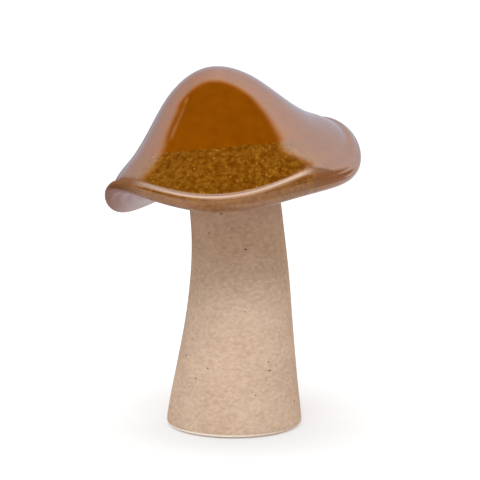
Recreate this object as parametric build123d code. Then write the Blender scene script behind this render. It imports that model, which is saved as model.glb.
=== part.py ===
from build123d import *
import os
from math import cos, exp, pi, radians, sin

# Ceramic mushroom ornament: a bare stoneware stem that carries a tilted, glazed cap with a wavy brim.
# Millimetres. The origin is the middle of the foot, on the surface that it stands on. +Z is up, and
# the front looks along -Y, with +X to the viewer's right.

# Stem
stem_height = 108.5         # from the surface to the middle of the stem's head
foot_diameter = 60.7
head_diameter = 40.2
stem_wall = 6.0
flare_bias = 0.64           # below 1 the flare of the foot sits low
lean = -0.8                 # where the head's middle stands, from over the foot's
bow = 3.0                   # how far the stem bows to the right
bow_bias = 1.46             # above 1 the bow sits high
foot_rounding = 2.6         # outer edge of the foot
foot_fettling = 1.0         # trimmed inner edge of the foot
stem_sections = 7           # circles that the stem is lofted through

# Joint between stem and cap
tenon_diameter = 33.0
tenon_length = 3.0
neck_diameter = 23.0        # passage from the stem's hollow to the cap's
slip_thickness = 0.6
bead_size = 1.4             # slip squeezed out round the stem's head
bead_root = 0.6             # how far the bead's outline reaches under the stem's skin before it is trimmed
bead_clearance = 0.4        # bare ring between the bead and the glaze

# Cap
cap_tilt = 11.8             # degrees, right side up
dome_height = 51.3          # from the land to the crown, along the cap's axis
brim_radius = 57.2          # before the brim is waved
brim_slope = 50.0           # degrees, how steeply the dome falls at the lip
rim_radius = 2.45           # roundness of the clay's rim
rim_lift = 2.6              # centre of the rim's roundness over the land
underside_hollow = 1.2      # how high the underside vaults over the land
land_margin = 6.2           # flat land past the socket
cap_wall = 7.5
cap_floor = 8.5             # clay between the land and the hollow
hollow_rounding = 4.0       # where the hollow's wall meets its floor
glaze_thickness = 0.7

# Outline of the dome between crown and lip: shares of the rim's radius and of the dome's height
dome_outline = ((0.389, 0.788), (0.673, 0.441))

# Lip: the brim turns up in front. To both sides the lip fades, and clay fills the hollow before it.
lip_turn = 4.0              # degrees, how far the lip turns up
lip_hollow = 3.6            # radius of the hollow before the lip
lip_direction = -112.0      # middle of the lip, in degrees from +X
lip_half = 50.0             # degrees to either side where half of the lip is left
lip_fade = 8.0              # the higher, the more suddenly it ends
fill_start = 39.0           # radius where the filling begins
fill_height = 3.0
fill_dip = (40.0, 8.0, 0.5)         # direction, sharpness and share by which the filling is lower there
thin_place = (-172.0, 14.0, 2.3)    # direction, sharpness and depth by which the rim's top is lower there

# Waves of the brim: lobes, height in mm at the rim, direction of a crest in degrees from +X
brim_waves = ((2, 9.3, 40.4), (3, 1.4, 69.6), (4, 2.3, 34.4))
# Waves of the brim's top alone, which make the rim thicker and thinner
top_waves = ((1, 0.9, -58.0), (2, 0.6, -62.0))
# Swells of the brim: lobes, share of the radius at the rim, direction of the widest place
brim_swells = ((1, 0.004, -158.0), (2, 0.019, -114.0), (3, 0.024, 8.0))
wave_growth = 1.36          # power by which waves and swells grow from the land to the rim

# Rings that the cap is lofted through
dome_rings = 14
lip_rings = 3
rim_bands = 6               # each lofted through three rings
underside_rings = 5
points_around = 24

head_radius = head_diameter / 2
foot_radius = foot_diameter / 2
neck_radius = neck_diameter / 2
tenon_radius = tenon_diameter / 2
socket_radius = tenon_radius + slip_thickness
bead_radius = head_radius + bead_size
bead_foot = slip_thickness + bead_size
glaze_edge_radius = bead_radius + bead_clearance
land_radius = socket_radius + land_margin
rim_centre = brim_radius - rim_radius

# The stem's head is tilted as the cap is. The cap's land lies one thickness of slip over it.
head_place = Location((lean, 0, stem_height), (0, -cap_tilt, 0))
land_place = head_place * Location((0, 0, slip_thickness))


# Stem: a tube lofted through circles, with a spigot on its tilted head
def flare(height_share):
    """1 at the foot and 0 at the head, steepest low down."""
    s = height_share**flare_bias
    return 1 - s * s * (3 - 2 * s)


def stem_loft(inset, top_radius):
    """The stem's form, drawn in by inset, up to a circle of top_radius in the tilted head."""
    circles = []
    for k in range(stem_sections - 1):
        share = k / (stem_sections - 1)
        centre = (lean * share + bow * sin(pi * share**bow_bias), 0, stem_height * share)
        radius = head_radius + (foot_radius - head_radius) * flare(share) - inset
        circles.append(Wire.make_circle(radius, Plane(centre)))
    circles.append(Wire.make_circle(top_radius, Plane(head_place)))
    return Solid.make_loft(circles)


def axial_cylinder(radius, low, high):
    """A round bar on the cap's axis, between two heights over the land."""
    bar = Cylinder(radius, high - low, align=(Align.CENTER, Align.CENTER, Align.MIN))
    return land_place * Location((0, 0, low)) * bar


stem_form = stem_loft(0, head_radius)
stem_form = fillet(stem_form.edges().sort_by(Axis.Z)[0], foot_rounding)
stem = stem_form - stem_loft(stem_wall, neck_radius)
stem += axial_cylinder(tenon_radius, -slip_thickness, tenon_length - slip_thickness)
stem -= axial_cylinder(neck_radius, -tenon_length, tenon_length)
foot_ring = stem.faces().sort_by(Axis.Z)[0]
stem = chamfer(foot_ring.inner_wires()[0].edges(), foot_fettling)

# Outline of the cap from crown to land, drawn flat with the radius along X and the height along Y
rim_middle = Vector(rim_centre, rim_lift)
lip_centre = rim_middle + Vector(0, rim_radius + lip_hollow).rotate(Axis.Z, lip_turn)
lip_curve = CenterArc(lip_centre, lip_hollow, -90 - brim_slope, brim_slope + lip_turn)
dome_curve = Spline(
    (0, dome_height),
    *[(rim_centre * radius, dome_height * height) for radius, height in dome_outline],
    lip_curve @ 0,
    tangents=[(1, 0), lip_curve % 0],
)
rim_curve = CenterArc(rim_middle, rim_radius, 90 + lip_turn, -180 - lip_turn)
underside_curve = Spline(
    rim_curve @ 1,
    ((rim_centre + land_radius) / 2, underside_hollow),
    (land_radius, 0),
    tangents=[(-1, 0), (-1, 0)],
)


def outward(curve, share):
    """The outline's outward normal at a share of the way along one of its curves."""
    along = curve % share
    return Vector(-along.Y, along.X)


def lobes(waves, angle):
    """The sum of cosine waves round the brim at an angle."""
    return sum(size * cos(count * (angle - radians(crest))) for count, size, crest in waves)


def local(spot, angle):
    """The size of a local change at an angle: full in its direction, none away from it."""
    direction, sharpness, size = spot
    return size * exp(sharpness * (cos(angle - radians(direction)) - 1))


def lip_filling(radius, angle):
    """How high clay fills the hollow before the lip: nothing in front, most where the lip has faded."""
    faded = 1 / (1 + exp(lip_fade * (cos(angle - radians(lip_direction)) - cos(radians(lip_half)))))
    fill_end = rim_centre + rim_radius * cos(radians(45))
    share = min(1, max(0, (radius - fill_start) / (fill_end - fill_start)))
    height = fill_height * (1 - local(fill_dip, angle))
    return faded * height * 27 / 4 * share**2 * (1 - share)


def cap_ring(curve, share, coat):
    """A closed ring through a place of the outline, waved by how far out it is, moved out by a coat."""
    clay = curve @ share
    place = clay + outward(curve, share) * coat
    growth = max(0, (clay.X - land_radius) / (brim_radius - land_radius))**wave_growth
    top = min(1, max(0, (clay.Y - rim_lift + rim_radius) / (2 * rim_radius)))
    points = []
    for k in range(points_around):
        angle = 2 * pi * k / points_around
        radius = place.X * (1 + growth * lobes(brim_swells, angle))
        height = place.Y + growth * lobes(brim_waves, angle)
        height += top * (growth * lobes(top_waves, angle) + lip_filling(clay.X, angle))
        height -= top * growth**3 * local(thin_place, angle)
        points.append(Vector(radius * cos(angle), radius * sin(angle), height))
    knots = [float(k) for k in range(points_around + 1)]
    return Wire([Edge.make_spline(points, periodic=True, parameters=knots)])


def cap_band(curve, start, end, rings, coat):
    """The skin over a stretch of the outline, lofted through equally spaced rings."""
    shares = [start + (end - start) * k / rings for k in range(rings + 1)]
    return Shell.make_loft([cap_ring(curve, share, coat) for share in shares]).faces()


def cap_loft(coat):
    """The cap's closed outer form, thickened all over by a coat: dome, lip, rim, underside and land."""
    crown = Vertex(0, 0, dome_height + coat)
    dome = [cap_ring(dome_curve, k / dome_rings, coat) for k in range(1, dome_rings + 1)]
    faces = Shell.make_loft([crown] + dome).faces()
    faces += cap_band(lip_curve, 0, 1, lip_rings, coat)
    for band in range(rim_bands):
        faces += cap_band(rim_curve, band / rim_bands, (band + 1) / rim_bands, 2, coat)
    faces += cap_band(underside_curve, 0, 1, underside_rings, coat)
    land = Face(cap_ring(underside_curve, 1, coat))
    return land_place * Solid(Shell(faces + [land]))


def turned(*curves):
    """A solid turned about the cap's axis from a closed flat outline."""
    return land_place * revolve(Plane.XZ * make_face(curves), Axis.Z)


# Cap body: the waved form, hollowed under the dome, with a socket for the spigot and a drain hole
def dome_hollow():
    """The hollow that draining the mould leaves: the dome drawn in by the wall, on a flat floor."""
    shares = [k / dome_rings for k in range(1, dome_rings + 1)]
    inner = [dome_curve @ share - outward(dome_curve, share) * cap_wall for share in shares]
    inner = [place for place in inner if place.Y > cap_floor + hollow_rounding]
    top = (0, dome_height - cap_wall)
    vault = Spline(top, *inner, tangents=[(1, 0), inner[-1] - inner[-2]])
    corner = (inner[-1].X, cap_floor)
    walls = Polyline(inner[-1], corner, (0, cap_floor), top)
    hollow = turned(vault, walls)
    floor_edge = hollow.faces().sort_by(Axis((0, 0, 0), land_place.z_axis.direction))[0].edges()
    return fillet(floor_edge, hollow_rounding)


cap_form = cap_loft(0)
cap_body = cap_form - dome_hollow()
cap_body -= axial_cylinder(socket_radius, -tenon_length, tenon_length)
cap_body -= axial_cylinder(neck_radius, 0, cap_floor + hollow_rounding)

# Luting slip: it fills the gap round the spigot and stands out as a bead under the land
bead_end = (head_radius - bead_root, -bead_foot)
bead_curve = RadiusArc((bead_radius, 0), bead_end, bead_foot)
slip_walls = Polyline(
    bead_end,
    (tenon_radius, -bead_foot),
    (tenon_radius, tenon_length - slip_thickness),
    (neck_radius, tenon_length - slip_thickness),
    (neck_radius, tenon_length),
    (bead_radius, tenon_length),
    (bead_radius, 0),
)
joint_slip = turned(bead_curve, slip_walls) - stem - cap_body

# Glaze: a coat over the whole cap that stops short of the bead
cap_glaze = cap_loft(glaze_thickness) - cap_form
cap_glaze -= axial_cylinder(glaze_edge_radius, -tenon_length, tenon_length)

os.makedirs("parts", exist_ok=True)
pieces = {"stem": stem, "cap_body": cap_body, "joint_slip": joint_slip, "cap_glaze": cap_glaze}
for name, piece in pieces.items():
    piece.label = name
    export_step(piece, f"parts/{name}.step")
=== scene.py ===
from math import atan2, cos, degrees, exp, pi, radians, sin

import bpy
from mathutils import Matrix, Vector


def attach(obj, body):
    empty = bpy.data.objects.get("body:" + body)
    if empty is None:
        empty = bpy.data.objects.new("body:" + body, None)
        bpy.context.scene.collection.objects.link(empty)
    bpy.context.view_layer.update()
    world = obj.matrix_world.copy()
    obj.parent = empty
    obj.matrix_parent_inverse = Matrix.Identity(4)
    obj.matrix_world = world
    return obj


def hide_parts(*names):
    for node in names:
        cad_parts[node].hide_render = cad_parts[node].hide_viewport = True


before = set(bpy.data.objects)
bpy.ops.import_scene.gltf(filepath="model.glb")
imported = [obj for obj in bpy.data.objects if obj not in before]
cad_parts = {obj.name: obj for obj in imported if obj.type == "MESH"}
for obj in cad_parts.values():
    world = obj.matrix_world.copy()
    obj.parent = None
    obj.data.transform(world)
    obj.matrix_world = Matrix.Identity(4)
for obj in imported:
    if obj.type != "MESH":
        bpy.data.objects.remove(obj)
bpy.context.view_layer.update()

# Stem: a slip-cast tube of bare, sandy buff stoneware. The foot flares and is open, because the mould
# was drained there. The tube bows a little to the right, and a spigot on its tilted head takes the cap.
mm = 0.001
stem_height = 108.5 * mm
stem_lean = -0.8 * mm
stem_bow = 3.0 * mm
bow_bias = 1.46             # above 1 the bow sits high
head_tilt = radians(11.8)
tilt_starts = 0.8           # share of the stem's height
weld_distance = 0.01 * mm

# Anchors of the outline: radius and height in mm, and the direction there in degrees, or none at a corner
stem_outline = (
    (27.4, 0.0, 0), (29.4, 1.0, 45), (30.0, 3.2, 97), (28.7, 13.0, 98.5), (26.6, 27.1, 98),
    (24.1, 45.6, 97), (21.9, 67.3, 95), (20.5, 89.0, 92), (20.1, 107.5, 90), (19.1, 108.5, 180),
    (16.5, 108.5, None), (16.5, 110.8, None), (11.5, 110.8, None), (11.5, 108.5, 270),
    (14.4, 94.0, 272), (17.6, 50.0, 263), (24.3, 1.2, 270), (25.4, 0.0, None),
)


def draw_outline(name, anchors, closed, steps):
    """Draws an outline as a curve over the X axis, then makes it a chain of edges."""
    bpy.ops.object.select_all(action="DESELECT")
    bpy.ops.curve.primitive_bezier_curve_add(location=(0, 0, 0))
    outline = bpy.context.object
    outline.name = name
    spline = outline.data.splines[0]
    spline.bezier_points.add(len(anchors) - 2)
    spline.use_cyclic_u = closed
    spline.resolution_u = steps
    places = [Vector((radius, 0, height)) * mm for radius, height, _ in anchors]
    for k, (point, (_, _, direction)) in enumerate(zip(spline.bezier_points, anchors)):
        behind, ahead = places[k - 1] - places[k], places[(k + 1) % len(places)] - places[k]
        point.handle_left_type = point.handle_right_type = "FREE"
        point.co = places[k]
        if direction is None:
            point.handle_left = places[k] + behind / 3
            point.handle_right = places[k] + ahead / 3
        else:
            along = Vector((cos(radians(direction)), 0, sin(radians(direction))))
            point.handle_left = places[k] - along * behind.length / 3
            point.handle_right = places[k] + along * ahead.length / 3
    bpy.ops.object.convert(target="MESH")
    return bpy.context.object


def turn_outline(steps):
    """Turns the drawn outline once round the Z axis, as on a wheel."""
    bpy.ops.object.mode_set(mode="EDIT")
    bpy.ops.mesh.select_all(action="SELECT")
    bpy.ops.mesh.spin(steps=steps, angle=2 * pi, center=(0, 0, 0), axis=(0, 0, 1))
    bpy.ops.mesh.select_all(action="SELECT")
    bpy.ops.mesh.remove_doubles(threshold=weld_distance)
    bpy.ops.mesh.normals_make_consistent(inside=False)
    bpy.ops.object.mode_set(mode="OBJECT")


def ramp(value, start, end):
    """How far a value has come from start to end, held between 0 and 1."""
    return min(1, max(0, (value - start) / (end - start)))


stem = draw_outline("stem_stoneware", stem_outline, closed=True, steps=8)
turn_outline(steps=128)
for corner in stem.data.vertices:
    share = min(1, corner.co.z / stem_height)
    above = corner.co.z - share * stem_height
    turned = ramp(share, tilt_starts, 1)
    tilt = head_tilt * turned**2 * (3 - 2 * turned)
    middle = stem_lean * share + stem_bow * sin(pi * max(0, share)**bow_bias)
    across = corner.co.x
    corner.co.x = middle + across * cos(tilt) - above * sin(tilt)
    corner.co.z = share * stem_height + across * sin(tilt) + above * cos(tilt)
bpy.ops.object.shade_smooth_by_angle(angle=radians(35))


def linear(red, green, blue):
    """A colour as a colour picker shows it, 0 to 255, made linear."""
    shares = [value / 255 for value in (red, green, blue)]
    return [c / 12.92 if c <= 0.04045 else ((c + 0.055) / 1.055)**2.4 for c in shares] + [1.0]


def add(tree, kind, inputs=None, **settings):
    """Adds a shader node, with its settings, and links or sets its inputs."""
    made = tree.nodes.new("ShaderNode" + kind)
    for name, value in settings.items():
        setattr(made, name, value)
    for name, value in (inputs or {}).items():
        if isinstance(value, bpy.types.NodeSocket):
            tree.links.new(value, made.inputs[name])
        else:
            made.inputs[name].default_value = value
    return made


def new_material(name):
    """A material with one plain shader, and its tree."""
    material = bpy.data.materials.new(name)
    material.use_nodes = True
    return material, material.node_tree, material.node_tree.nodes["Principled BSDF"]


def noise(tree, place, scale, detail, roughness=0.5):
    """Cloudy noise, with so many clouds to the metre."""
    inputs = {"Vector": place, "Scale": scale, "Detail": detail, "Roughness": roughness}
    return add(tree, "TexNoise", inputs).outputs["Fac"]


def cells(tree, place, scale):
    """Cells, so many to the metre: how far a place is from its cell's middle, and the cell's own number."""
    drawn = add(tree, "TexVoronoi", {"Vector": place, "Scale": scale})
    number = add(tree, "SeparateColor", {"Color": drawn.outputs["Color"]})
    return drawn.outputs["Distance"], number.outputs["Red"]


def span(tree, value, start, end, low=0.0, high=1.0, smooth=False):
    """Low where a value is at start, high where it is at end, and even or smooth between them."""
    inputs = {"Value": value, "From Min": start, "From Max": end, "To Min": low, "To Max": high}
    way = "SMOOTHSTEP" if smooth else "LINEAR"
    return add(tree, "MapRange", inputs, interpolation_type=way).outputs["Result"]


def reckon(tree, operation, *values):
    """Arithmetic on values that change over a surface."""
    return add(tree, "Math", dict(enumerate(values)), operation=operation).outputs[0]


def mix_colours(tree, share, first, second, way="MIX"):
    """The first colour, mixed with the second or multiplied by it, by a share."""
    inputs = {"Factor": share, 6: first, 7: second}
    return add(tree, "Mix", inputs, data_type="RGBA", blend_type=way).outputs[2]


# Sand and iron in fired clay: fine grain, slow mottling and dark specks, as a colour and a height
grains_per_metre = 620
mottles_per_metre = 55
mottle_strength = 0.25      # against the grain's
noise_low, noise_high = 0.3, 0.7        # most of a noise lies between these
iron_cells_per_metre = 250
iron_from = 0.4             # cells with a lower number hold no speck
iron_reach = 0.17           # radius of the largest speck, in cells
iron_edge = 0.05
sandy = bpy.data.node_groups.new("sandy_clay", "ShaderNodeTree")
for name, kind in (("Place", "Vector"), ("Body", "Color"), ("Sand", "Color"), ("Iron", "Color")):
    sandy.interface.new_socket(name=name, in_out="INPUT", socket_type="NodeSocket" + kind)
sandy.interface.new_socket(name="Iron Share", in_out="INPUT", socket_type="NodeSocketFloat")
sandy.interface.new_socket(name="Color", in_out="OUTPUT", socket_type="NodeSocketColor")
sandy.interface.new_socket(name="Height", in_out="OUTPUT", socket_type="NodeSocketFloat")
clay = sandy.nodes.new("NodeGroupInput").outputs
fired = sandy.nodes.new("NodeGroupOutput").inputs
grain = span(sandy, noise(sandy, clay["Place"], grains_per_metre, 2, 0.6), noise_low, noise_high)
mottle = span(sandy, noise(sandy, clay["Place"], mottles_per_metre, 3, 0.55), noise_low, noise_high,
              -mottle_strength, mottle_strength)
sand_share = add(sandy, "Math", {0: grain, 1: mottle}, operation="ADD", use_clamp=True).outputs[0]
sanded = mix_colours(sandy, sand_share, clay["Body"], clay["Sand"])
to_iron, iron_number = cells(sandy, clay["Place"], iron_cells_per_metre)
iron_radius = span(sandy, iron_number, iron_from, 1.0, 0.0, iron_reach)
in_iron = span(sandy, reckon(sandy, "SUBTRACT", iron_radius, to_iron), 0.0, iron_edge)
speck_share = reckon(sandy, "MULTIPLY", in_iron, clay["Iron Share"])
sandy.links.new(mix_colours(sandy, speck_share, sanded, clay["Iron"]), fired["Color"])
sandy.links.new(grain, fired["Height"])


def clay_skin(tree, shader, place, body, sand, iron, iron_share, tooth, tooth_depth):
    """Bare clay: gives its colour, and makes its grain a fine tooth on the surface."""
    skin = add(tree, "Group", {"Place": place, "Body": linear(*body), "Sand": linear(*sand),
                               "Iron": linear(*iron), "Iron Share": iron_share}, node_tree=sandy)
    relief = add(tree, "Bump", {"Height": skin.outputs["Height"], "Strength": tooth,
                                "Distance": tooth_depth})
    tree.links.new(relief.outputs["Normal"], shader.inputs["Normal"])
    return skin.outputs["Color"]


# Painted shade: the upper stem is painted darker and warmer, as the shade under the cap. A near-white line
# is painted round the foot just above its bottom edge, fainter to the right.
grain_stretch = (0.75, 0.75, 1.15)      # the grain lies a little flat
cap_shade_starts, cap_shade_ends = 53 * mm, 88 * mm
cap_shade_tint = (0.82, 0.735, 0.66, 1)
foot_line_height = 1.4 * mm
foot_line_core, foot_line_edge = 0.3 * mm, 0.7 * mm
foot_line_share = 0.85
foot_line_fade_starts, foot_line_fade_ends = -5 * mm, 28 * mm
foot_line_leaves = 0.25          # of the line, at the right
stoneware, tree, shader = new_material("bare_stoneware")
place = add(tree, "TexCoord").outputs["Object"]
laid = add(tree, "Mapping", {"Vector": place, "Scale": grain_stretch}).outputs["Vector"]
colour = clay_skin(tree, shader, laid, body=(183, 156, 133), sand=(203, 178, 156), iron=(104, 80, 62),
                   iron_share=0.9, tooth=0.35, tooth_depth=0.25 * mm)
spot = add(tree, "SeparateXYZ", {0: place}).outputs
# painted shade under the cap: darker and warmer towards the top
cap_shade = span(tree, spot["Z"], cap_shade_starts, cap_shade_ends, smooth=True)
colour = mix_colours(tree, cap_shade, colour, cap_shade_tint, "MULTIPLY")
# a near-white line round the foot just above its bottom edge, fainter to the right
off_line = reckon(tree, "ABSOLUTE", reckon(tree, "SUBTRACT", spot["Z"], foot_line_height))
foot_line = span(tree, off_line, foot_line_edge, foot_line_core, 0.0, foot_line_share)
foot_line_left = span(tree, spot["X"], foot_line_fade_starts, foot_line_fade_ends, 1.0, foot_line_leaves)
colour = mix_colours(tree, reckon(tree, "MULTIPLY", foot_line, foot_line_left), colour, linear(252, 244, 234))
tree.links.new(colour, shader.inputs["Base Color"])
shader.inputs["Roughness"].default_value = 0.85
shader.inputs["Specular IOR Level"].default_value = 0.25
stem.data.materials.append(stoneware)
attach(stem, "root")
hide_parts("stem")

# Bead: the luting slip that was squeezed out where the cap was pressed on the stem's head, and wiped
# round with a wet brush. Fired, it is a little darker and smoother than the stem.
slip_thickness = 0.6 * mm
cap_place = Matrix.Translation((stem_lean, 0, stem_height)) @ Matrix.Rotation(-head_tilt, 4, "Y")
cap_place = cap_place @ Matrix.Translation((0, 0, slip_thickness))
bead_outline = ((21.4, 0.0, 270), (21.0, -1.1, 245), (19.6, -1.9, 190), (19.6, 0.0, None))
bead = draw_outline("slip_bead", bead_outline, closed=True, steps=6)
turn_outline(steps=96)
bead.data.transform(cap_place)
bpy.ops.object.shade_smooth_by_angle(angle=radians(50))

slip, tree, shader = new_material("luting_slip")
place = add(tree, "TexCoord").outputs["Object"]
colour = clay_skin(tree, shader, place, body=(158, 128, 104), sand=(184, 156, 130), iron=(100, 76, 60),
                   iron_share=0.5, tooth=0.25, tooth_depth=0.2 * mm)
tree.links.new(colour, shader.inputs["Base Color"])
shader.inputs["Roughness"].default_value = 0.75
bead.data.materials.append(slip)
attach(bead, "root")
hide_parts("joint_slip")

# Cap clay: the hollow casting under the glaze. It shows only as a bare ring round the bead and through
# the drain hole, so the solid itself stays and gets the fired clay.
clay_body, tree, shader = new_material("cap_clay")
place = add(tree, "TexCoord").outputs["Object"]
colour = clay_skin(tree, shader, place, body=(170, 138, 112), sand=(198, 170, 144), iron=(104, 80, 62),
                   iron_share=0.7, tooth=0.3, tooth_depth=0.25 * mm)
tree.links.new(colour, shader.inputs["Base Color"])
shader.inputs["Roughness"].default_value = 0.85
cap_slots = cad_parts["cap_body"].data.materials
cap_slots.clear()
cap_slots.append(clay_body)

# Glaze: the glossy amber coat on the cap's top, rolled rim and underside. The cap was cast round, trimmed
# on a wheel, waved at its brim while soft, and set tilted on the stem. Lengths of its shape are in mm, and
# directions round the cap are in degrees from +X, with the front at -90.
rim_centre = 54.75          # of the rolled rim's roundness, from the cap's axis
rim_lift = 2.6              # of that centre, over the land round the stem
rim_radius = 3.09
rim_tolerance = 0.05        # places this near to the rim's round lie on it
lip_turn = 4                # degrees, how far the lip turns up in front
lip_hollow = 2.96           # radius of the hollow before the lip
brim_slope = 50             # degrees
glaze_thickness = 0.6
wave_starts = 23.3          # radius from which the brim is waved
wave_growth = 1.36          # power by which the waves grow towards the rim

# Waves and swells: lobes round the brim, height or share of the radius at the rim, direction of a crest
brim_waves = ((2, 9.3, 40.4), (3, 1.4, 69.6), (4, 2.3, 34.4))
top_waves = ((1, 0.9, -58), (2, 0.6, -62))
brim_swells = ((1, 0.004, -158), (2, 0.019, -114), (3, 0.024, 8))

# The lip stands in front and fades to both sides, where its hollow is filled
lip_direction = -112
lip_half = 50               # degrees to either side where half of it is left
lip_fade = 8                # the higher, the more suddenly it ends
fill_starts = 39.4
fill_ends = rim_centre + 0.7 * rim_radius
fill_height = 3
fill_dip = (40, 8, 0.5)     # direction, sharpness and share by which the filling is lower there
thin_place = (-172, 14, 2.3)            # direction, sharpness and depth of a thin place of the rim
turning_depth = 0.14        # rings that the trimming left on the underside
turning_pitch = 5.2
turning_starts = 30

# Painted highlight and reflection: a pale line painted along the lip that bends in at its ends, and a
# painted reflection of the floor on the rim's left face
line_direction = -91        # of the line's middle
line_half = 42              # degrees to either side where half of it is left
line_fade = 30
line_past_crest = 1.1       # from the crest of the rim, outwards
line_bend, line_bend_at = 2.0, 40       # how far in it has bent, at so many degrees to either side
line_width = 1.05
face_share = 0.3            # of the line's paleness
face_starts, face_full = 3.2, 5.4       # past the crest
face_thins, face_ends = 7, 9
face_right, face_right_full = -98, -110
face_left, face_left_full = -142, -128

# Both ends of the lip are made matt, and their colour is painted darker as the dark room that the glaze
# mirrors there. The right one begins at a slanted edge.
dry_left = (-143, 60, 1.8)  # direction, sharpness and size, of which 1 is fully matt
dry_right = (-38, 60, 1.8)
dry_right_share = 0.8
dry_left_drop, dry_right_drop = -0.55, -0.1         # lowest place, in radii of the rim from its centre
dry_edge_direction, dry_edge_past_crest = -41, -1.6
dry_edge_slope = 0.42       # for each degree
dry_edge_width = 0.8
dry_starts, dry_full = 51, 52.5


def arc(radius, height, size, start, end, parts):
    """Anchors on a round stretch between two angles from its centre."""
    angles = [start + (end - start) * k / parts for k in range(parts + 1)]
    turn = 90 if end > start else -90
    return [(radius + size * cos(radians(a)), height + size * sin(radians(a)), a + turn) for a in angles]


def lobes(waves, angle):
    """The sum of the waves round the brim at an angle."""
    return sum(size * cos(count * (angle - radians(crest))) for count, size, crest in waves)


def local(spot, angle):
    """The size of a local change at an angle: full in its direction, none away from it."""
    direction, sharpness, size = spot
    return size * exp(sharpness * (cos(angle - radians(direction)) - 1))


def lip_filling(radius, angle):
    """How high the hollow before the lip is filled: not in front, most where the lip has faded."""
    faded = 1 / (1 + exp(lip_fade * (cos(angle - radians(lip_direction)) - cos(radians(lip_half)))))
    share = ramp(radius, fill_starts, fill_ends)
    return faded * fill_height * (1 - local(fill_dip, angle)) * 27 / 4 * share**2 * (1 - share)


def shine_share(past_crest, angle):
    """How much painted highlight, and on the rim's left face painted reflection, a place past the crest of
    the rim gets.
    """
    direction = degrees(angle)
    aside = direction - line_direction
    along = 1 / (1 + exp(line_fade * (cos(radians(line_half)) - cos(radians(aside)))))
    off_line = past_crest - line_past_crest + line_bend * (aside / line_bend_at)**2
    on_face = ramp(past_crest, face_starts, face_full) * ramp(past_crest, face_ends, face_thins)
    at_left = ramp(direction, face_right, face_right_full) * ramp(direction, face_left, face_left_full)
    return max(along * exp(-(off_line / line_width)**2), face_share * on_face * at_left)


def matt_dark_share(radius, angle, over, past_crest):
    """How matt the glaze is, and how much darker it is painted, at a place of the rim, over its centre and
    past its crest.
    """
    left = min(1, local(dry_left, angle)) if over > dry_left_drop * rim_radius else 0
    right = min(1, local(dry_right, angle)) if over > dry_right_drop * rim_radius else 0
    slant = dry_edge_past_crest + dry_edge_slope * (degrees(angle) - dry_edge_direction)
    right *= dry_right_share * ramp(past_crest, slant, slant + dry_edge_width)
    return max(left, right) * ramp(radius, dry_starts, dry_full)


lip_centre = Vector((-sin(radians(lip_turn)), cos(radians(lip_turn)))) * (rim_radius + lip_hollow)
lip = arc(rim_centre + lip_centre.x, rim_lift + lip_centre.y, lip_hollow,
          start=-90 - brim_slope, end=-90 + lip_turn, parts=2)
rim = arc(rim_centre, rim_lift, rim_radius, start=90 + lip_turn, end=-90, parts=4)
dome_outline = [(0, 51.94, 0), (21.7, 40.9, -46), (37.3, 23.0, -47)]
underside_outline = [(39.0, 0.6, 182), (wave_starts, -0.64, 180), (22.1, -0.64, 180)]
glaze_outline = dome_outline + lip + rim[1:] + underside_outline
glaze = draw_outline("amber_glaze", glaze_outline, closed=False, steps=18)
turn_outline(steps=192)
lip_shine = glaze.data.attributes.new("lip_shine", "FLOAT", "POINT")
matt_dark_tip = glaze.data.attributes.new("matt_dark_tip", "FLOAT", "POINT")
for corner in glaze.data.vertices:
    radius = corner.co.xy.length / mm
    angle = atan2(corner.co.y, corner.co.x)
    over, out = corner.co.z / mm - rim_lift, radius - rim_centre
    on_rim = abs((over**2 + out**2)**0.5 - rim_radius) < rim_tolerance
    past_crest = atan2(out, over) * rim_radius if on_rim else min(out, 0)
    if on_rim or over > 0:
        lip_shine.data[corner.index].value = shine_share(past_crest, angle)
    matt_dark_tip.data[corner.index].value = matt_dark_share(radius, angle, over, past_crest)
    growth = max(0, (radius - wave_starts) / (rim_centre + rim_radius - wave_starts))**wave_growth
    top = ramp(over, -rim_radius, rim_radius)
    thin = growth**3 * local(thin_place, angle)
    swell = 1 + growth * lobes(brim_swells, angle)
    lift = growth * lobes(brim_waves, angle)
    lift += top * (growth * lobes(top_waves, angle) + lip_filling(radius, angle) - thin)
    if not on_rim and over < 0 and radius > turning_starts:
        lift += turning_depth * sin(2 * pi * radius / turning_pitch)
    corner.co = (corner.co.x * swell, corner.co.y * swell, corner.co.z + lift * mm)
glaze.data.transform(cap_place)
coat = glaze.modifiers.new("coat", "SOLIDIFY")
coat.thickness = glaze_thickness * mm
coat.offset = -1
bpy.ops.object.modifier_apply(modifier="coat")
bpy.ops.object.shade_smooth_by_angle(angle=radians(50))

# The dome is clear amber. Past a crease, the front of the brim is full of sand grains under the glaze, and
# of paler ochre flecks that are partly painted glints off its grainy surface.
# Places on the cap go by their distance from its axis and by how they face, from -1 in front to 1 behind.
crease_front, crease_side = 38.4 * mm, 41.6 * mm
crease_side_from = -0.65
crease_wander = 0.7 * mm
crease_edge = 0.4 * mm
wanders_per_metre = 260
pools_per_metre = 190
sandy_from, sandy_to = -0.8, -0.45      # the sand and its painted glints thin out to the sides
sand_left = 0.12
lip_starts, lip_ends = 53.5 * mm, 55.5 * mm
sand_on_lip = 0.6
grit_per_metre = 450
grit_low, grit_high = 0.36, 0.72
even_grit = 0.5             # where no sand is left
ochre_glint_cells_per_metre = 720
ochre_glint_from = 0.6            # cells with a lower number hold no ochre fleck or painted glint
ochre_glint_core, ochre_glint_edge = 0.1, 0.45      # in cells
shine_strength = 0.85
matt_dark_tint = (0.82, 0.78, 0.6, 1)
glossy_roughness, dry_roughness = 0.12, 0.6
ripples_per_metre = 420
ripple_strength = 0.16
ripple_depth = 0.15 * mm
amber, tree, shader = new_material("amber_glaze")
place = add(tree, "TexCoord").outputs["Object"]
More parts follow.
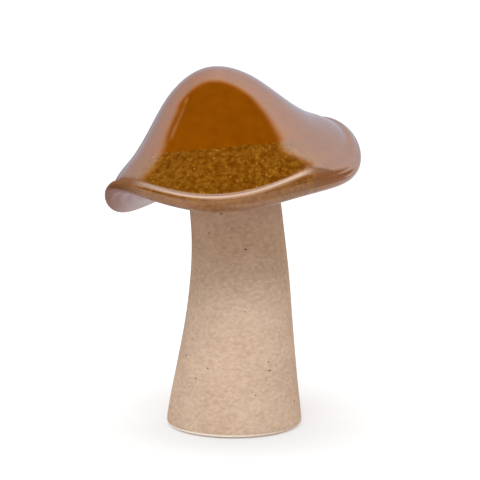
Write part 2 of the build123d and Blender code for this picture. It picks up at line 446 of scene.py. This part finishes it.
on_cap = add(tree, "Mapping", {"Vector": place, "Location": cap_place.translation,
                               "Rotation": (0, -head_tilt, 0)}, vector_type="TEXTURE").outputs["Vector"]
flat = add(tree, "VectorMath", {0: on_cap, 1: (1, 1, 0)}, operation="MULTIPLY").outputs["Vector"]
from_axis = add(tree, "VectorMath", {0: flat}, operation="LENGTH").outputs["Value"]
outwards = add(tree, "VectorMath", {0: flat}, operation="NORMALIZE").outputs["Vector"]
facing = add(tree, "SeparateXYZ", {0: outwards}).outputs["Y"]
crease = span(tree, facing, -1.0, crease_side_from, crease_front, crease_side)
wander = span(tree, noise(tree, place, wanders_per_metre, 2), 0.0, 1.0, -crease_wander, crease_wander)
past_crease = reckon(tree, "ADD", reckon(tree, "SUBTRACT", from_axis, crease), wander)
on_brim = span(tree, past_crease, -crease_edge, crease_edge, smooth=True)
pool = noise(tree, place, pools_per_metre, 3)
dome_colour = mix_colours(tree, pool, linear(113, 57, 0), linear(140, 75, 1))
in_front = span(tree, facing, sandy_from, sandy_to, 1.0, sand_left)
before_lip = span(tree, from_axis, lip_starts, lip_ends, 1.0, sand_on_lip)
in_sand = reckon(tree, "MULTIPLY", in_front, before_lip)
grit = span(tree, noise(tree, place, grit_per_metre, 2, 0.6), grit_low, grit_high)
grit_share = add(tree, "Mix", {"Factor": in_sand, 2: even_grit, 3: grit}, data_type="FLOAT").outputs[0]
brim_colour = mix_colours(tree, grit_share, linear(102, 55, 2), linear(141, 91, 21))
# ochre flecks, partly painted glints of light off the grainy glaze
to_ochre_glint, ochre_glint_number = cells(tree, place, ochre_glint_cells_per_metre)
in_ochre_glint = span(tree, to_ochre_glint, ochre_glint_edge, ochre_glint_core)
ochre_glint = reckon(tree, "MULTIPLY", span(tree, ochre_glint_number, ochre_glint_from, 1.0), in_ochre_glint)
ochre_glint_share = reckon(tree, "MULTIPLY", ochre_glint, in_sand)
brim_colour = mix_colours(tree, ochre_glint_share, brim_colour, linear(172, 120, 44))
brim_share = reckon(tree, "MULTIPLY", on_brim, in_front)
colour = mix_colours(tree, brim_share, dome_colour, brim_colour)
# painted highlight along the lip and painted reflection of the floor on the rim's left face
lip_shine_fac = add(tree, "Attribute", attribute_name="lip_shine").outputs["Fac"]
colour = mix_colours(tree, reckon(tree, "MULTIPLY", lip_shine_fac, shine_strength), colour, linear(202, 170, 148))
# matt lip ends, their colour darkened as a painted dark reflection
matt_dark = add(tree, "Attribute", attribute_name="matt_dark_tip").outputs["Fac"]
colour = mix_colours(tree, matt_dark, colour, matt_dark_tint, "MULTIPLY")
ripple = reckon(tree, "MULTIPLY", noise(tree, place, ripples_per_metre, 2), on_brim)
relief = add(tree, "Bump", {"Height": ripple, "Strength": ripple_strength, "Distance": ripple_depth})
roughness = span(tree, matt_dark, 0.0, 1.0, glossy_roughness, dry_roughness)
gloss = span(tree, matt_dark, 0.0, 1.0, 1.0, 0.0)
tree.links.new(colour, shader.inputs["Base Color"])
tree.links.new(roughness, shader.inputs["Roughness"])
tree.links.new(gloss, shader.inputs["Coat Weight"])
tree.links.new(relief.outputs["Normal"], shader.inputs["Normal"])
shader.inputs["IOR"].default_value = 1.5
shader.inputs["Coat Roughness"].default_value = 0.03
shader.inputs["Coat IOR"].default_value = 1.55
glaze.data.materials.append(amber)
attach(glaze, "root")
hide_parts("cap_glaze")

# Studio floor: white paper under the ornament. The camera sees it lifted to white by a glow, with a painted
# shade near the foot where the glow is lower. In the glaze it is darker to the left, and from below it is
# clear.
paper_size = 14
shade_starts, shade_ends = 0.03, 0.1    # metres from the middle of the foot
shaded_glow, open_glow = 0.56, 0.86
dim_from, dim_to = -0.08, 0.12
dim_paper = (0.26, 0.2, 0.22, 1)
lit_paper = (0.9, 0.9, 0.9, 1)
seen_paper = (0.3, 0.3, 0.3, 1)         # the rest of its white is glow
white = (1, 1, 1, 1)
bpy.ops.object.select_all(action="DESELECT")
bpy.ops.mesh.primitive_plane_add(size=paper_size, location=(0, 0, 0))
floor = bpy.context.object
floor.name = "studio_floor"
paper, tree, shader = new_material("white_paper")
path = add(tree, "LightPath").outputs
place = add(tree, "TexCoord").outputs["Object"]
aside = span(tree, add(tree, "SeparateXYZ", {0: place}).outputs["X"], dim_from, dim_to)
mirrored = mix_colours(tree, aside, dim_paper, white)
colour = mix_colours(tree, path["Is Glossy Ray"], lit_paper, mirrored)
colour = mix_colours(tree, path["Is Camera Ray"], colour, seen_paper)
from_foot = add(tree, "VectorMath", {0: place}, operation="LENGTH").outputs["Value"]
# painted shade: the camera's glow is lower near the foot
glow = span(tree, from_foot, shade_starts, shade_ends, shaded_glow, open_glow)
tree.links.new(colour, shader.inputs["Base Color"])
tree.links.new(reckon(tree, "MULTIPLY", path["Is Camera Ray"], glow), shader.inputs["Emission Strength"])
shader.inputs["Emission Color"].default_value = white
shader.inputs["Roughness"].default_value = 0.9
shader.inputs["Specular IOR Level"].default_value = 0.0
under = add(tree, "NewGeometry").outputs["Backfacing"]
clear = add(tree, "BsdfTransparent").outputs["BSDF"]
either = add(tree, "MixShader", {0: under, 1: shader.outputs["BSDF"], 2: clear})
tree.links.new(either.outputs["Shader"], tree.nodes["Material Output"].inputs["Surface"])
floor.data.materials.append(paper)


# Studio room: pale cloth round the back and the sides, with a warm front edge and cooler far behind, a pale
# room in front and a dark ceiling, so the glaze mirrors a clear amber window between pale wings. A small
# warm gap high on the left shows as a thin streak in that window.
def tint_span(tree, value, start, end, low=(0, 0, 0), high=(1, 1, 1), smooth=False):
    """As span, but for red, green and blue, each with its own start, end, low and high."""
    inputs = {6: value, 7: start, 8: end, 9: low, 10: high}
    way = "SMOOTHSTEP" if smooth else "LINEAR"
    return add(tree, "MapRange", inputs, data_type="FLOAT_VECTOR", interpolation_type=way).outputs["Vector"]


# Places in the room go by the direction to them: how far to the right, to the back and up
cloth_skew = 0.1            # the cloth reaches further forward on the right
cloth_starts, cloth_full = (0.165, 0.195, 0.215), (0.36, 0.39, 0.42)
near_cloth, far_cloth = 0.35, 0.95
near_level, far_level = 1.70, 0.60
left_cloth, middle_cloth = -0.45, 0.0
left_level, middle_level = 0.66, 0.9
end_starts, end_full = 0.70, 0.78       # the cloth ends on the right, but not low down
end_low, end_high = 0.12, 0.25
end_share = 0.88
warm_from, warm_to = (0.35, 0.35, 0.35), (0.75, 0.75, 0.75)
warm_tint, plain_tint = (1.22, 1.08, 1.0), (1.0, 0.975, 1.0)
cool_from, cool_to = (0.80, 0.80, 0.80), (0.93, 0.93, 0.93)
no_tint, cool_tint = (1, 1, 1), (1.03, 1.10, 1.24)
ceiling_lean = 0.55         # the ceiling starts lower towards the back
ceiling_starts, ceiling_full = 0.56, 0.70
room_bright, ceiling_dark = 0.70, 0.001
gap_direction = (-0.697, 0.222, 0.682)
gap_core, gap_edge = 0.02, 0.075
gap_light = (1.1, 0.66, 0.32)
world = bpy.data.worlds.new("studio")
bpy.context.scene.world = world
world.use_nodes = True
tree = world.node_tree
direction = add(tree, "TexCoord").outputs["Generated"]
sky = add(tree, "SeparateXYZ", {0: direction}).outputs
right, back, up = sky["X"], sky["Y"], sky["Z"]
skewed = reckon(tree, "MULTIPLY_ADD", right, cloth_skew, back)
on_cloth = tint_span(tree, skewed, cloth_starts, cloth_full, smooth=True)
level_back = span(tree, back, near_cloth, far_cloth, near_level, far_level)
level_aside = span(tree, right, left_cloth, middle_cloth, left_level, middle_level)
past_end = span(tree, right, end_starts, end_full)
over_end = span(tree, up, end_low, end_high, 0.0, end_share)
cloth_share = reckon(tree, "SUBTRACT", 1.0, reckon(tree, "MULTIPLY", past_end, over_end))
cloth_level = reckon(tree, "MULTIPLY", reckon(tree, "MULTIPLY", level_back, level_aside), cloth_share)
warmth = tint_span(tree, back, warm_from, warm_to, warm_tint, plain_tint)
coolness = tint_span(tree, back, cool_from, cool_to, no_tint, cool_tint)
cloth_tint = add(tree, "VectorMath", {0: warmth, 1: coolness}, operation="MULTIPLY").outputs["Vector"]
cloth_light = add(tree, "VectorMath", {0: cloth_tint, "Scale": cloth_level}, operation="SCALE")
to_ceiling = reckon(tree, "MULTIPLY_ADD", back, ceiling_lean, up)
room_level = span(tree, to_ceiling, ceiling_starts, ceiling_full, room_bright, ceiling_dark, smooth=True)
off_gap = add(tree, "VectorMath", {0: direction, 1: gap_direction}, operation="DISTANCE").outputs["Value"]
gap_level = span(tree, off_gap, gap_core, gap_edge, 1.0, 0.0)
gap_shine = add(tree, "VectorMath", {0: gap_light, "Scale": gap_level}, operation="SCALE").outputs["Vector"]
room_light = add(tree, "VectorMath", {0: gap_shine, 1: room_level})
light = add(tree, "Mix", {1: on_cloth, 4: room_light.outputs["Vector"], 5: cloth_light.outputs["Vector"]},
            data_type="VECTOR", factor_mode="NON_UNIFORM").outputs[1]
seen = add(tree, "LightPath").outputs["Is Camera Ray"]
tree.links.new(mix_colours(tree, seen, light, white), tree.nodes["Background"].inputs["Color"])


# Lights: a soft box over the camera, and a weaker one high on the left that lifts the crown. Both are kept
# out of the glaze's mirror.
def soft_box(name, place, aim_height, size, watts):
    """Hangs a round soft box that looks at a height of the ornament's axis."""
    bpy.ops.object.light_add(type="AREA", location=place)
    box = bpy.context.object
    box.name = name
    box.data.shape = "DISK"
    box.data.size = size
    box.data.energy = watts
    box.rotation_euler = (Vector((0, 0, aim_height)) - box.location).to_track_quat("-Z", "Y").to_euler()
    box.visible_glossy = False
    return box


key = soft_box("key_light", place=(-0.08, -1.2, 1.6), aim_height=0.09, size=0.8, watts=24)
top_light = soft_box("top_light", place=(-0.5, 0.15, 1.4), aim_height=0.13, size=0.6, watts=3.2)

# Camera: 1.2 m in front of the ornament and a little above it, looking down by ten degrees
camera_place = Vector((2.6, -1181.0, 295.9)) * mm
camera_pitch = radians(79.79)           # from straight down
bpy.ops.object.camera_add(location=camera_place, rotation=(camera_pitch, 0, 0))
camera = bpy.context.object
camera.data.sensor_width = 36
camera.data.lens = 203.53
bpy.context.scene.camera = camera
bpy.context.scene.view_settings.view_transform = "Standard"
